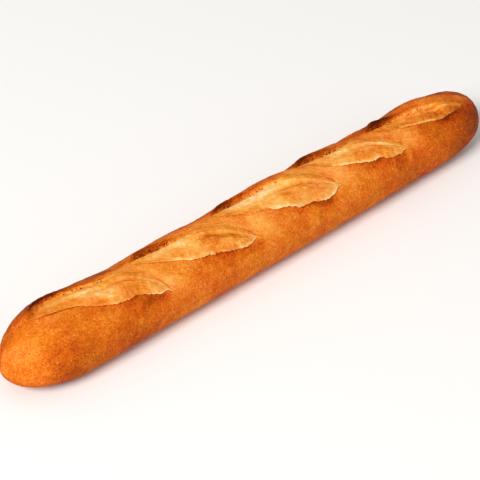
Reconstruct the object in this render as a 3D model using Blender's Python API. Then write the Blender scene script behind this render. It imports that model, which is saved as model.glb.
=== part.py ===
"""A plain wheat baguette: one solid loaf with five slanting slashes on its top.

The loaf lies along X on a flat base in the plane z = 0, with its origin at the middle of the
base. The slashes are parallel and overlap, each running from the far side (+Y) of the top
over to the near side (-Y). Every slash opens into a lens: along its far edge the crust lifts
into an ear above a deep crease, and beyond the middle a smooth tongue of crumb fills it.

The skin is a net of rings across the loaf, joined by tracks that run along it. The tracks
slant with the slashes, so each slash has its own tracks: along its rim, its tongue, its
groove, its crease and its ear.
"""

import math
from bisect import bisect_right

import bmesh
import bpy

MM = 0.001

# Driving dimensions of the plain loaf, before it is slashed.
LENGTH = 550.0 * MM
HALF_WIDTH = 34.8 * MM
HEIGHT = 57.0 * MM
WAIST = 0.42 * HEIGHT          # height of the widest line
BASE_EXPONENT = 2.5            # squareness of the section under the waist
BASE_OVERSHOOT = 1.10          # how far the section would reach below the flat base
END_LENGTH = 51.0 * MM         # length of each rounded end
BASE_END_LENGTH = 72.0 * MM    # how far from each tip the base starts to lift
BASE_END_EXPONENT = 2.4        # how late the base lifts towards the ends
NEAR_END_EXPONENT = 1.85       # roundness of the end at -X
FAR_END_EXPONENT = 2.5         # roundness of the end at +X
FAR_TAPER = 0.11               # how much thinner the loaf is towards +X
TAPER_EXPONENT = 2.5
SWELL = 0.7 * MM               # how much the loaf swells at each slash
GIRTH = 206.0 * MM             # length round the middle of the loaf

# The net: rings across the loaf and tracks along it.
MIDDLE_RINGS = 96
END_RINGS = 9
SLASH_TRACKS = 7
SPARE_TRACKS = 5
SLANT = 0.333                  # how far a free track moves round the loaf for each unit of X
BLEND_LENGTH = 25.0 * MM       # how soon the tracks find their slash
SECTION_STEPS = 720

# Heights along the slashes.
EAR_HEIGHT = 4.4 * MM          # of the ear's crest above the shoulder behind it
EAR_LEAN = 1.4 * MM
SHOULDER_FLAT = 9.0 * MM       # how far behind an ear the crust is fully lifted
SHOULDER_WIDTH = 32.0 * MM     # how far behind it the crust is lifted at all
PINCH_DEPTH = 1.2 * MM         # how far the crust is drawn in beside a far tip
CREASE_DEPTH = 6.0 * MM
GROOVE_DEPTH = 2.0 * MM
TONGUE_HEIGHT = 1.6 * MM
RIM_HEIGHT = 1.1 * MM
APRON_DEPTH = 2.0 * MM         # how far the crust dips under the rim
APRON_WIDTH = 3.5 * MM
TIP_WIDTH = 5.0 * MM           # width of a slash's tracks at its tips
EAR_RUN = (-0.01, 0.13, 0.62)  # where along a slash its ear starts, peaks and ends
SHARP_EDGE = math.radians(45)

CRUST_COLOUR = (0.80, 0.28, 0.055, 1.0)
CRUST_ROUGHNESS = 0.62


class Slash:
    """One slash: its chord, from its far tip to its near tip, and how far it opens.

    The chord is given by x along the loaf and by the distance round the loaf from its top
    line, towards the near side. The opening is measured round the loaf from the chord.
    """

    def __init__(self, start, end, near_bulge, far_bulge, ear, shoulder, shoulder_run,
                 pinch=PINCH_DEPTH):
        self.start_x, self.start_s = (value * MM for value in start)
        self.end_x, self.end_s = (value * MM for value in end)
        self.near_bulge = near_bulge * MM
        self.far_bulge = far_bulge * MM
        self.ear = ear
        self.shoulder = shoulder * MM
        self.shoulder_run = shoulder_run
        self.pinch = pinch

    def middle(self):
        """Return the middle of the chord."""
        return (self.start_x + self.end_x) / 2, (self.start_s + self.end_s) / 2

    def share(self, x):
        """Return how far x is along the slash, from 0 to 1."""
        return (x - self.start_x) / (self.end_x - self.start_x)

    def weight(self, x):
        """Return 1 along the slash, falling to 0 a little way beyond its tips."""
        beyond = max(self.start_x - x, x - self.end_x, 0.0)
        return 1.0 - smooth_step(beyond / BLEND_LENGTH)

    def edges(self, x):
        """Return the places round the loaf of the slash's far edge and near edge."""
        share = self.share(x)
        chord = self.start_s + (self.end_s - self.start_s) * share
        far = chord - TIP_WIDTH / 2 - self.far_bulge * lens(share, 0.64)
        near = chord + TIP_WIDTH / 2 + self.near_bulge * lens(share, 0.46)
        return far, near

    def tracks(self, x):
        """Return the places round the loaf of the slash's tracks, from the far side on."""
        far, near = self.edges(x)
        width = near - far
        root = far - 3.0 * MM - 3.0 * MM * bump(self.share(x), 0.0, 0.30, 0.80)
        return [root, far - 0.8 * MM, far, far + 0.34 * width, far + 0.68 * width, near,
                near + APRON_WIDTH]

    def shoulder_height(self, x, place):
        """Return how far the crust behind the slash is lifted, or drawn in beside its tip."""
        share = self.share(x)
        behind = self.edges(x)[0] - place
        fade = (behind - SHOULDER_FLAT) / (SHOULDER_WIDTH - SHOULDER_FLAT)
        reach = smooth_step(1.0 + behind / (3.0 * MM)) * (1.0 - smooth_step(fade))
        lift = self.shoulder * bump(share, *self.shoulder_run)
        pinch = self.pinch * bump(share, -0.30, -0.07, 0.14)
        return (lift - pinch) * reach

    def heights(self, x):
        """Return how high each of the slash's tracks stands above the plain loaf."""
        share = self.share(x)
        ear = self.ear * bump(share, *EAR_RUN)
        crease = bump(share, -0.02, 0.28, 1.0)
        tongue = bump(share, 0.30, 0.72, 1.04)
        opening = bump(share, -0.04, 0.55, 1.04)
        apron = bump(share, 0.35, 0.85, 1.10)
        groove = GROOVE_DEPTH * opening + 0.5 * CREASE_DEPTH * crease * (1.0 - 0.7 * tongue)
        floor = 0.35 * CREASE_DEPTH * crease * (1.0 - tongue)
        return [0.0,
                EAR_HEIGHT * ear + 0.8 * MM * opening,
                -CREASE_DEPTH * crease,
                -groove,
                TONGUE_HEIGHT * tongue - floor,
                RIM_HEIGHT * opening,
                -APRON_DEPTH * apron]

    def leans(self, x):
        """Return how far each of the slash's tracks leans towards the near side."""
        return [0.0, EAR_LEAN * bump(self.share(x), *EAR_RUN), 0.0, 0.0, 0.0, 0.0, 0.0]


# From the near end (-X) to the far end (+X): tips, openings, share of the ear's height, and
# the height of the shoulder behind it and where along the slash it starts, peaks and ends.
SLASHES = [
    Slash((-240, -9), (-118, 37), 5.0, 22.0, 0.8, 4.4, (-0.30, 0.03, 0.85), pinch=0.0),
    Slash((-138, -9), (-21, 31), 11.0, 17.0, 0.9, 0.6, (0.05, 0.45, 0.95)),
    Slash((-44, -11), (80, 27), 12.5, 17.0, 0.9, 2.8, (0.10, 0.62, 1.05)),
    Slash((55, -14), (165, 28), 10.5, 13.5, 0.9, 1.6, (-0.05, 0.30, 0.80)),
    Slash((140, -8), (248, 15), 9.5, 11.5, 1.2, 5.0, (0.20, 0.74, 1.20), pinch=2.0 * MM),
]


def smooth_step(value):
    """Return an even S-shaped step from 0 to 1."""
    value = min(max(value, 0.0), 1.0)
    return value * value * (3.0 - 2.0 * value)


def lens(share, peak):
    """Return a lens-shaped opening, 0 at both tips and 1 at its peak."""
    share = min(max(share, 0.0), 1.0)
    half = share / peak if share < peak else (1.0 - share) / (1.0 - peak)
    return math.sin(half * math.pi / 2) ** 0.8


def bump(share, start, peak, end):
    """Return a smooth bump that is 0 at its start and its end and 1 at its peak."""
    if share <= peak:
        return smooth_step((share - start) / (peak - start))
    return smooth_step((end - share) / (end - peak))


def round_end(depth, exponent):
    """Return how full an end is at a depth from 0, where it begins, to 1, its tip."""
    return (1.0 - min(max(depth, 0.0), 1.0) ** exponent) ** (1.0 / exponent)


def swell(x):
    """Return how much wider and higher the loaf is at x for the slashes around it."""
    return sum(SWELL * bump(slash.share(x), -0.05, 0.55, 1.15) for slash in SLASHES)


def station(x):
    """Return the half width, top height and base height of the plain loaf at x."""
    depth = (abs(x) - (LENGTH / 2 - END_LENGTH)) / END_LENGTH
    full = round_end(depth, FAR_END_EXPONENT if x > 0 else NEAR_END_EXPONENT)
    if x > 0:
        full *= 1.0 - FAR_TAPER * (2 * x / LENGTH) ** TAPER_EXPONENT
    extra = swell(x) * full
    base_depth = (abs(x) - (LENGTH / 2 - BASE_END_LENGTH)) / BASE_END_LENGTH
    lift = WAIST * (1.0 - round_end(base_depth, BASE_END_EXPONENT))
    return HALF_WIDTH * full + extra, WAIST + (HEIGHT - WAIST) * full ** 0.9 + extra, lift


def unit_section(angle):
    """Return the section of the loaf at an angle from the far side, as shares of its size."""
    across, rise = math.cos(angle), math.sin(angle)
    if rise >= 0:
        return across, rise
    power = 2.0 / BASE_EXPONENT
    across = math.copysign(abs(across) ** power, across)
    return across, max(-BASE_OVERSHOOT * abs(rise) ** power, -1.0)


def section_table():
    """Return the places round the middle of the loaf and the angle at each of them.

    The places run from the top line over the near side and back, and are scaled to GIRTH.
    """
    points = []
    for step in range(SECTION_STEPS + 1):
        angle = math.pi / 2 + 2 * math.pi * step / SECTION_STEPS
        across, rise = unit_section(angle)
        up = (HEIGHT - WAIST) if rise >= 0 else WAIST
        points.append((angle, HALF_WIDTH * across, up * rise))
    places, angles, length = [0.0], [points[0][0]], 0.0
    for before, after in zip(points, points[1:]):
        length += math.hypot(after[1] - before[1], after[2] - before[2])
        places.append(length)
        angles.append(after[0])
    return [place * GIRTH / length for place in places], angles


PLACES, ANGLES = section_table()


def angle_at(place):
    """Return the section's angle at a place round the loaf."""
    place %= GIRTH
    low = min(bisect_right(PLACES, place), len(PLACES) - 1)
    span = PLACES[low] - PLACES[low - 1]
    part = (place - PLACES[low - 1]) / span if span > 0 else 0.0
    return ANGLES[low - 1] + part * (ANGLES[low] - ANGLES[low - 1])


def skin_point(x, place, height=0.0):
    """Return the point at x and a place round the loaf, raised from the skin by a height."""
    half_width, top, base = station(x)
    across, rise = unit_section(angle_at(place))
    reach = (top - WAIST) if rise >= 0 else (WAIST - base)
    outward_y, outward_z = across / half_width, rise / reach
    size = math.hypot(outward_y, outward_z)
    y = half_width * across + height * outward_y / size
    z = WAIST + reach * rise + height * outward_z / size
    return x, y, max(z, base)


def free_places(x):
    """Return where the tracks would run at x if no slash held them."""
    places = []
    for slash in reversed(SLASHES):
        middle_x, middle_s = slash.middle()
        centre = middle_s + SLANT * (x - middle_x)
        pitch = 33.6 * MM / SLASH_TRACKS
        places += [centre + (number - (SLASH_TRACKS - 1) / 2) * pitch
                   for number in range(SLASH_TRACKS)]
    room = places[0] + GIRTH - places[-1]
    places += [places[-1] + room * (number + 1) / (SPARE_TRACKS + 1)
               for number in range(SPARE_TRACKS)]
    return places


def fit_between(free, held):
    """Return the free places moved so that the held tracks are where they are held.

    The tracks between two held ones are spread as they were before.
    """
    if not held:
        return list(free)
    count = len(free)
    places = [0.0] * count
    numbers = sorted(held)
    for index, first in enumerate(numbers):
        last = numbers[(index + 1) % len(numbers)]
        wrap = 0 if last > first else 1
        span = last + wrap * count - first
        start, end = held[first], held[last] + wrap * GIRTH
        free_start = free[first]
        free_span = free[last] + wrap * GIRTH - free_start
        for step in range(span):
            number = first + step
            turn = number // count
            share = (free[number % count] + turn * GIRTH - free_start) / free_span
            places[number % count] = start + share * (end - start) - turn * GIRTH
    return places


def ring(x):
    """Return the points of the ring at x, one for each track."""
    free = free_places(x)
    full, partial = {}, []
    heights, leans = [0.0] * len(free), [0.0] * len(free)
    for order, slash in enumerate(reversed(SLASHES)):
        weight = slash.weight(x)
        if weight <= 0:
            continue
        first = order * SLASH_TRACKS
        held = {first + number: place for number, place in enumerate(slash.tracks(x))}
        heights[first:first + SLASH_TRACKS] = slash.heights(x)
        leans[first:first + SLASH_TRACKS] = slash.leans(x)
        if weight >= 1:
            full.update(held)
        else:
            partial.append((weight, held))
    base = fit_between(free, full)
    places = list(base)
    for weight, held in partial:
        target = fit_between(free, {**full, **held})
        places = [place + weight * (wanted - start)
                  for place, wanted, start in zip(places, target, base)]
    heights = [height + sum(slash.shoulder_height(x, place) for slash in SLASHES)
               for place, height in zip(places, heights)]
    return [skin_point(x, place + lean, height)
            for place, lean, height in zip(places, leans, heights)]


def ring_stations():
    """Return the x of each ring, closer together towards the tips."""
    reach = LENGTH / 2 - END_LENGTH
    stations = [-reach + 2 * reach * number / MIDDLE_RINGS for number in range(MIDDLE_RINGS + 1)]
    ends = [reach + END_LENGTH * math.sin(math.pi / 2 * (number + 1) / (END_RINGS + 1))
            for number in range(END_RINGS)]
    tip = reach + 0.9988 * END_LENGTH
    return [-tip] + [-x for x in reversed(ends)] + stations + ends + [tip]


def loaf_mesh():
    """Return the mesh of the whole loaf, closed at both tips."""
    mesh = bmesh.new()
    rings = [[mesh.verts.new(point) for point in ring(x)] for x in ring_stations()]
    count = len(rings[0])
    for lower, upper in zip(rings, rings[1:]):
        for number in range(count):
            following = (number + 1) % count
            mesh.faces.new((lower[number], upper[number], upper[following], lower[following]))
    for side, last in ((-1, rings[0]), (1, rings[-1])):
        tip = mesh.verts.new((side * LENGTH / 2, 0.0, WAIST))
        for number in range(count):
            mesh.faces.new((last[number], last[(number + 1) % count], tip))
    bmesh.ops.triangulate(mesh, faces=mesh.faces[:])
    bmesh.ops.recalc_face_normals(mesh, faces=mesh.faces[:])
    data = bpy.data.meshes.new("loaf")
    mesh.to_mesh(data)
    mesh.free()
    data.shade_smooth()
    data.set_sharp_from_angle(angle=SHARP_EDGE)
    return data


def crust_material():
    """Return the plain browned crust."""
    material = bpy.data.materials.new("baked wheat crust")
    material.use_nodes = True
    shader = material.node_tree.nodes["Principled BSDF"]
    shader.inputs["Base Color"].default_value = CRUST_COLOUR
    shader.inputs["Roughness"].default_value = CRUST_ROUGHNESS
    shader.inputs["Metallic"].default_value = 0.0
    material.diffuse_color = CRUST_COLOUR
    return material


def main():
    """Build the loaf in an empty scene."""
    for thing in list(bpy.data.objects):
        bpy.data.objects.remove(thing, do_unlink=True)
    loaf = bpy.data.objects.new("loaf", loaf_mesh())
    loaf.data.materials.append(crust_material())
    bpy.context.scene.collection.objects.link(loaf)


main()
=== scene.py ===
"""The looks of a plain wheat baguette with five slanting slashes on its top.

The crust is one closed shell whose tracks follow the slashes: an ear stands along the far
edge of each, and the torn crumb inside each slash is a piece of its own. Blisters and torn
flakes are grown over them by Geometry Nodes. Everything is in metres, +Z up, with
the loaf along X, -X being the near end and -Y the near side.
"""

from __future__ import annotations

import logging
import math
from dataclasses import dataclass
from enum import Enum

import bpy
import numpy as np
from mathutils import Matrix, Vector


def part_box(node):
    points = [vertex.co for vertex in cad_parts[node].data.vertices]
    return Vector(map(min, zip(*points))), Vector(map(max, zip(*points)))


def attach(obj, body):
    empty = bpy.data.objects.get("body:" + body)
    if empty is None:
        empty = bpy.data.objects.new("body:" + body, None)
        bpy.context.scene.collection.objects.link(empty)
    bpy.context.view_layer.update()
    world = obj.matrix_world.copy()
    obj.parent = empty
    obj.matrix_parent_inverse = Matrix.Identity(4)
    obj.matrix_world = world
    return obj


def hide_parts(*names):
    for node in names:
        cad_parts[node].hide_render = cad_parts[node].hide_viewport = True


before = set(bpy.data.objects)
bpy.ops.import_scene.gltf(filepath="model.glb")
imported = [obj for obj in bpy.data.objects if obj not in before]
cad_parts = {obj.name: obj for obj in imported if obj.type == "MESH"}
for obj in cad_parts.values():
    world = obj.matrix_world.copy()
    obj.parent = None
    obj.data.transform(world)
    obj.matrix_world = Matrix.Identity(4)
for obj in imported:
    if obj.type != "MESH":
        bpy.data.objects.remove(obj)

LOG = logging.getLogger("baguette")
MM = 0.001
NODE = "loaf"
BODY = "root"


class Layer(str, Enum):
    """The values that the meshes carry for their relief and their materials."""

    # The bake also carries painted shade and painted highlights mixed into the colour.
    BAKE = "bake"          # how brown the surface is, from 0 for straw to 1 for dark brown
    GRAIN = "grain"        # metres along and across the tear, for streaks
    FIBRE = "fibre"        # how strong those streaks are
    ROUGH = "rough"        # how much of the fine relief the surface takes
    SEED = "seeding"       # how many small pieces grow here
    TINT = "tint"          # a random shade for each small piece
    RELIEF = "relief"      # how far the fine relief raises a point, in millimetres


class Edge(Enum):
    """The two long edges of a slash."""

    FAR = -1
    NEAR = 1


# Helpers for shapes --------------------------------------------------------------------


def smooth_step(value: np.ndarray | float) -> np.ndarray:
    """Give an even S-shaped step.

    Args:
        value: the place on the step, where 0 is its foot and 1 its head.

    Returns:
        Values from 0 to 1.
    """
    held = np.clip(value, 0.0, 1.0)
    return held * held * (3.0 - 2.0 * held)


def bump(share: np.ndarray, start: float, peak: float, end: float) -> np.ndarray:
    """Give a smooth bump.

    Args:
        share: where to read the bump.
        start: where it rises from 0.
        peak: where it is 1.
        end: where it is 0 again.

    Returns:
        The height of the bump, from 0 to 1.
    """
    rising = smooth_step((share - start) / (peak - start))
    falling = smooth_step((end - share) / (end - peak))
    return np.where(share <= peak, rising, falling)


def lens(share: np.ndarray, peak: float) -> np.ndarray:
    """Give a lens-shaped opening.

    Args:
        share: the place along the slash, from 0 to 1.
        peak: where the lens is widest.

    Returns:
        0 at both tips and 1 at the peak.
    """
    held = np.clip(share, 0.0, 1.0)
    half = np.where(held < peak, held / peak, (1.0 - held) / (1.0 - peak))
    return np.sin(half * math.pi / 2) ** 0.8


def ridge(value: np.ndarray, centre: np.ndarray | float, width: float) -> np.ndarray:
    """Give a soft ridge.

    Args:
        value: where to read it.
        centre: where it is 1.
        width: how far from the centre it has fallen to about a third.

    Returns:
        Values from 0 to 1.
    """
    return np.exp(-(((value - centre) / width) ** 2))


def lattice_noise(u: np.ndarray, v: np.ndarray | float, cell: float, seed: int) -> np.ndarray:
    """Give smooth noise over a plane.

    Args:
        u: the first coordinate.
        v: the second coordinate.
        cell: the size of the noise.
        seed: the same seed gives the same noise.

    Returns:
        Values from -1 to 1.
    """
    across, along = np.broadcast_arrays(np.asarray(u) / cell, np.asarray(v) / cell)
    low_a, low_b = np.floor(across), np.floor(along)
    part_a, part_b = smooth_step(across - low_a), smooth_step(along - low_b)

    def corner(step_a: int, step_b: int) -> np.ndarray:
        """Give the random value of one lattice corner."""
        wave = np.sin((low_a + step_a) * 127.1 + (low_b + step_b) * 311.7 + seed * 74.7)
        return (wave * 43758.5453) % 1.0

    low = corner(0, 0) + (corner(1, 0) - corner(0, 0)) * part_a
    high = corner(0, 1) + (corner(1, 1) - corner(0, 1)) * part_a
    return 2.0 * (low + (high - low) * part_b) - 1.0


def patches_at(x: np.ndarray, places: np.ndarray, marks: tuple, slope: float = 0.0) -> np.ndarray:
    """Give the sum of soft patches.

    Args:
        x: where along the loaf.
        places: where round the loaf.
        marks: for each patch its x, place, half length and half width in millimetres, and its value.
        slope: how the patches slant round the loaf.

    Returns:
        The sum of the patches' values.
    """
    total = 0.0 * (x + places)
    for mark_x, mark_place, length, width, value in marks:
        along = (x - mark_x * MM) / (length * MM)
        over = (places - mark_place * MM - slope * (x - mark_x * MM)) / (width * MM)
        total = total + value * np.exp(-((along**2 + over**2) ** 1.3))
    return total


def spread(knots: int, steps: tuple[int, ...]) -> np.ndarray:
    """Give the weights that draw a smooth curve through a few stations.

    Args:
        knots: how many stations there are.
        steps: how many tracks each stretch between two stations has.

    Returns:
        A table that turns the stations' values into the tracks' values.
    """
    weights = []
    for index, count in enumerate(steps):
        for step in range(count):
            part = step / count
            row = np.zeros(knots)
            shares = (
                -0.5 * part + part**2 - 0.5 * part**3,
                1.0 - 2.5 * part**2 + 1.5 * part**3,
                0.5 * part + 2.0 * part**2 - 1.5 * part**3,
                -0.5 * part**2 + 0.5 * part**3,
            )
            for offset, share in zip((-1, 0, 1, 2), shares):
                row[min(max(index + offset, 0), knots - 1)] += share
            weights.append(row)
    last = np.zeros(knots)
    last[-1] = 1.0
    return np.array([*weights, last])


# The form of the loaf and its slashes --------------------------------------------------


@dataclass(frozen=True)
class Cut:
    """One slash: its chord, how far it opens, its ear, and the crust lifted behind it.

    Places are measured round the loaf from its top line, towards the near side. The rim lists
    the x and the place, in millimetres, of the torn near edge. The pits list where the crevice
    is open, from one x to another, and how broken it is, from 0 to 1. The pale rims list where
    the torn edge stayed pale. The marks list soft patches of crumb: x, place, half length, half
    width and how much browner they are. The back lists the far edge where it isn't a plain lens.
    """

    name: str
    start: tuple[float, float]
    end: tuple[float, float]
    rim: tuple[tuple[float, float], ...]
    far_bulge: float
    ear: float
    shoulder: float
    shoulder_run: tuple[float, float, float]
    pinch: float = 1.2
    plateau: float = 9.0
    closed: float = 0.55
    torn_from: float = 0.28
    ragged: float = 1.0
    pits: tuple[tuple[float, float, float], ...] = ()
    pale_rims: tuple[tuple[float, float], ...] = ()
    pale_run: tuple[float, float, float] = (0.0, 0.34, 0.86)
    paleness: float = 0.30
    pale_band: float = 0.10
    toast: float = 0.0
    scorch: float = 0.26
    scorch_end: float = 0.75
    marks: tuple[tuple[float, float, float, float, float], ...] = ()
    back: tuple[tuple[float, float], ...] = ()
    crevice: float = 1.0
    ear_fade: float = 0.0
    seed: int = 1
    tip_width: float = 5.0 * MM
    reach: float = 25.0 * MM

    def share(self, x: np.ndarray) -> np.ndarray:
        """Give how far x is along the slash, from 0 to 1."""
        return (x - self.start[0] * MM) / ((self.end[0] - self.start[0]) * MM)

    def middle(self) -> tuple[float, float]:
        """Give the x and the place of the middle of the chord."""
        return tuple((a + b) / 2 * MM for a, b in zip(self.start, self.end))

    def weight(self, x: np.ndarray) -> np.ndarray:
        """Give 1 along the slash, falling to 0 a little way beyond its tips."""
        beyond = np.maximum(np.maximum(self.start[0] * MM - x, x - self.end[0] * MM), 0.0)
        return 1.0 - smooth_step(beyond / self.reach)

    def edge(self, x: np.ndarray, side: Edge) -> np.ndarray:
        """Give the place of one long edge.

        Args:
            x: where along the loaf.
            side: which edge.

        Returns:
            The place round the loaf, in metres from its top line.
        """
        share = self.share(x)
        chord = (self.start[1] + (self.end[1] - self.start[1]) * share) * MM
        if side is Edge.FAR and not self.back:
            return chord - self.tip_width / 2 - self.far_bulge * MM * lens(share, 0.64)
        slope = (self.end[1] - self.start[1]) / (self.end[0] - self.start[0])
        line = self.back if side is Edge.FAR else self.rim
        before, after = line[0], line[-1]
        knots = [(before[0] - 40, before[1] - 40 * slope), *line, (after[0] + 40, after[1] + 40 * slope)]
        knots_x, places = np.array(knots).T * MM
        shifts = np.linspace(-2.0, 2.0, 5) * MM
        return sum(np.interp(x + shift, knots_x, places) for shift in shifts) / len(shifts)

    def open(self, x: np.ndarray) -> np.ndarray:
        """Give 1 where the slash is open and 0 beyond its tips."""
        share = self.share(x)
        return smooth_step((share - 0.01) / 0.12) * smooth_step((1.0 - share) / 0.06)

    def late(self, x: np.ndarray) -> np.ndarray:
        """Give 0 where the far edge stands over a crevice and 1 where the crumb rounds down to it."""
        return smooth_step((self.share(x) - self.closed) / 0.13)

    def ear_at(self, x: np.ndarray) -> np.ndarray:
        """Give how high the ear stands, as a share of the tallest."""
        return self.ear * bump(self.share(x), -0.01, 0.13, self.ear_fade or self.closed + 0.08)

    def crease_at(self, x: np.ndarray) -> np.ndarray:
        """Give how deep the crevice is, as a share of the deepest."""
        return self.crevice * bump(self.share(x), -0.02, 0.22, self.closed + 0.14)

    def lift(self, x: np.ndarray, place: np.ndarray) -> np.ndarray:
        """Give how far the crust behind the slash is lifted, or drawn in beside its tip.

        Args:
            x: where along the loaf.
            place: where round the loaf.

        Returns:
            The lift in metres.
        """
        share = self.share(x)
        behind = self.edge(x, Edge.FAR) - place
        fade = (behind - self.plateau * MM) / (23.0 * MM)
        slope = (3.0 + 13.0 * self.late(x)) * MM
        reach = smooth_step(1.0 + behind / slope) * (1.0 - smooth_step(fade))
        raised = self.shoulder * MM * bump(share, *self.shoulder_run)
        return (raised - self.pinch * MM * bump(share, -0.30, -0.07, 0.14)) * reach


CUTS = (
    Cut("cut_1", (-240, -9), (-118, 37),
        ((-240, -8), (-227, -2), (-211, 2), (-201, 6), (-187, 14), (-170, 21), (-149, 22), (-139, 27),
         (-132, 31), (-126, 31), (-118, 38)),
        far_bulge=22.0,
        back=((-240, -12), (-226, -18), (-208, -19), (-190, -14), (-170, -7), (-155, -5), (-140, 5),
              (-130, 15), (-122, 27), (-118, 34)),
        ear=0.5, shoulder=4.4, shoulder_run=(-0.30, 0.03, 0.85), pinch=0.0,
        closed=0.62, torn_from=0.50, ragged=0.8, crevice=0.4, pits=((-206, -163, 0.85),),
        pale_rims=((-148, -120),), pale_run=(0.10, 0.45, 0.75), paleness=0.04,
        pale_band=0.04, toast=0.05, scorch=0.40, scorch_end=0.60, seed=11,
        marks=((-178, 2, 16, 9, -0.28), (-130, 22, 10, 5, -0.09), (-206, -12, 15, 3, -0.08), (-216, -3, 20, 6, 0.09),
               (-203, 4, 8, 1.6, -0.16), (-180, 17, 13, 1.5, -0.10), (-152, 12, 13, 7, 0.01),
               (-133, 29, 8, 4, -0.12))),
    Cut("cut_2", (-138, -9), (-21, 31),
        ((-138, -7), (-127, 1), (-111, 10), (-98, 15), (-88, 20), (-74, 22), (-60, 25), (-51, 28),
         (-44, 31), (-28, 32), (-21, 32)),
        far_bulge=15.0, ear=0.9, shoulder=0.6, shoulder_run=(0.05, 0.45, 0.95),
        closed=0.48, torn_from=0.30, pits=((-128, -92, 0.0), (-92, -70, 0.75)),
        pale_rims=((-106, -66), (-45, -16)), pale_run=(-0.05, 0.22, 0.62), paleness=0.20,
        pale_band=0.05, toast=0.01, scorch=0.27, seed=23,
        marks=((-88, 0, 11, 5, -0.13), (-79, 12, 7, 6, -0.11), (-78, 20, 7, 3, 0.10), (-60, 9, 14, 6, 0.14), (-47, 17, 10, 5, 0.07),
               (-46, 4, 22, 2, -0.08), (-37, 26, 10, 5, -0.06))),
    Cut("cut_3", (-44, -11), (80, 27),
        ((-44, -9), (-31, 1), (-16, 9), (1, 12), (6, 16), (18, 19), (29, 24), (48, 26), (56, 30),
         (64, 31), (73, 29), (80, 28.5)),
        far_bulge=17.0, ear=0.9, shoulder=2.8, shoulder_run=(0.10, 0.62, 1.05),
        closed=0.56, torn_from=0.24, pits=((-42, -16, 0.25), (-16, 34, 0.85)),
        pale_rims=((0, 36), (50, 86)), pale_run=(-0.05, 0.34, 0.74), paleness=0.36,
        pale_band=0.08, scorch=0.27, scorch_end=0.52, seed=37,
        marks=((15, 14, 12, 5, -0.09), (-12, 6, 10, 4, 0.04), (26, 9, 9, 4, 0.10), (54, 11, 12, 3, 0.06),
               (34, 4, 20, 2.4, 0.06), (66, 26, 9, 4, -0.16))),
    Cut("cut_4", (55, -14), (165, 28),
        ((55, -12), (66, -9), (74, -1), (80, 5), (89, 10), (101, 14), (113, 18), (125, 22), (134, 21),
         (142, 26), (154, 28), (165, 29.5)),
        far_bulge=13.5, ear=0.9, shoulder=1.6, shoulder_run=(-0.05, 0.30, 0.80),
        closed=0.50, torn_from=0.30, ragged=0.8, pits=((58, 72, 0.30), (74, 108, 0.35)),
        pale_rims=((84, 136), (144, 166)), pale_run=(-0.05, 0.32, 0.70), paleness=0.16,
        pale_band=0.24, toast=0.03, scorch=0.36, seed=41,
        marks=((118, 4, 12, 4, -0.10), (141, 17, 9, 5, 0.05), (92, 3, 14, 5, -0.04))),
    Cut("cut_5", (140, -8), (248, 15),
        ((140, -6), (149, -5), (161, 2), (171, 7), (184, 10), (203, 15), (217, 18), (236, 18.5),
         (243, 18), (248, 17)),
        far_bulge=7.5,
        back=((140, -11), (160, -9.5), (185, -6), (200, -2), (212, 1.5), (222, 5), (232, 9), (241, 13),
              (248, 15.5)),
        ear=1.5, shoulder=6.0, shoulder_run=(0.15, 0.64, 1.20), pinch=2.0, plateau=26.0,
        closed=0.68, torn_from=0.28, ragged=0.30, crevice=0.5, ear_fade=0.46,
        pits=((142, 154, 0.20), (160, 175, 0.65), (186, 207, 0.95)),
        pale_rims=((170, 212),), pale_run=(0.0, 0.45, 0.95), paleness=0.10,
        pale_band=0.04, toast=0.16, scorch=0.36, scorch_end=0.65, seed=59,
        marks=((222, 6.8, 14, 2, -0.16), (182, 3, 16, 5, -0.07), (232, 13, 14, 5, 0.04))),
)

# Soft patches of crust: x, place, half length, half width and how much browner they are. The
# darker patches just under the torn rims are partly painted shade, and the narrow light stripes
# below the tips of the first and the fourth slash and the light patch low on the near end are
# painted highlights.
CRUST_PATCHES_AND_PAINTED_LIGHT = (
    (-138, 33, 15, 5, 0.16), (-160, 38, 22, 7, 0.08), (-122, 23, 6, 9, -0.10), (-14, 20, 10, 10, -0.02),
    (88, 16, 10, 9, -0.02), (163, 34, 3, 8, -0.10), (170, 24, 7, 3, -0.08), (152, 38, 8, 6, 0.05),
    (186, 24, 10, 8, 0.08), (-265, 52, 22, 14, -0.12), (-26, 37, 14, 5, 0.10), (214, -21, 30, 9, 0.20),
    (-226, -27, 15, 6, 0.24), (-198, -26, 18, 6, 0.28), (-168, -18, 18, 6, 0.24), (-153, -12, 16, 5, 0.20),
    (-117, 17, 10, 6, 0.14), (26, -16, 16, 6, 0.12), (201, 29, 14, 6, 0.10), (168, -20, 12, 6, -0.12),
    (-47, -16, 9, 5, -0.07), (-128, -14, 9, 5, -0.07), (0, -24, 12, 6, -0.06),
)


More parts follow.
